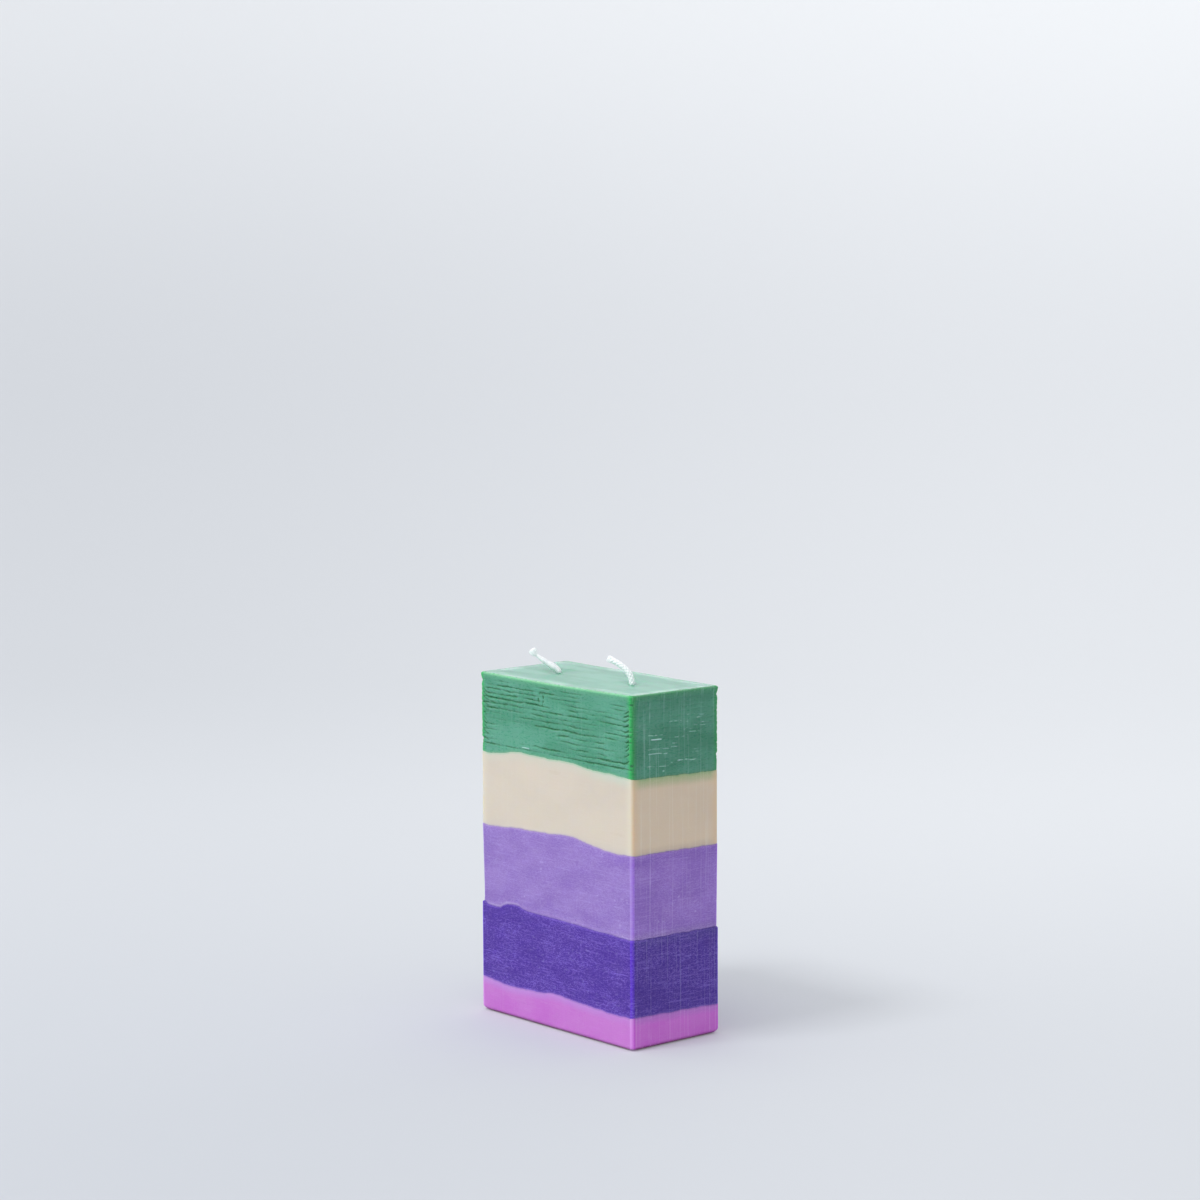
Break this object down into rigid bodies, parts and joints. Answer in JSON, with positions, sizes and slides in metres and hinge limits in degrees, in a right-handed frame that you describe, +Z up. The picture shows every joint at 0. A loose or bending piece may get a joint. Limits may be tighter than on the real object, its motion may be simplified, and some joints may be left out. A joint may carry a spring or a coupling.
{
  "type": "block candle",
  "caption": "Rectangular block candle of five poured wax colours with two waxed cotton wicks, flat base to rest on.",
  "frame": {"origin": "centre of the flat base, on the surface that the candle stands on", "axes": "+Z up along the block's height, +X to the right along its wide faces, +Y from front to back through its depth"},
  "size_m": [0.1, 0.0494, 0.1616],
  "materials": {
    "pink_wax": "orchid pink paraffin wax, cast, satin",
    "violet_wax": "deep violet paraffin wax, cast, satin with fine frosting",
    "lilac_wax": "lilac paraffin wax, cast, satin",
    "cream_wax": "cream paraffin wax, cast, smooth satin",
    "green_wax": "sea green paraffin wax, cast, satin with cold-pour folds",
    "cotton_wick": "braided cotton, stiff with clear wax",
    "tinned_steel": "stamped and tinned"
  },
  "bodies": {
    "root": {"pink_layer": "pink_wax", "violet_layer": "violet_wax", "lilac_layer": "lilac_wax", "cream_layer": "cream_wax", "green_layer": "green_wax", "wick_left": "cotton_wick", "wick_right": "cotton_wick", "wick_tab_left": "tinned_steel", "wick_tab_right": "tinned_steel"}
  },
  "joints": []
}
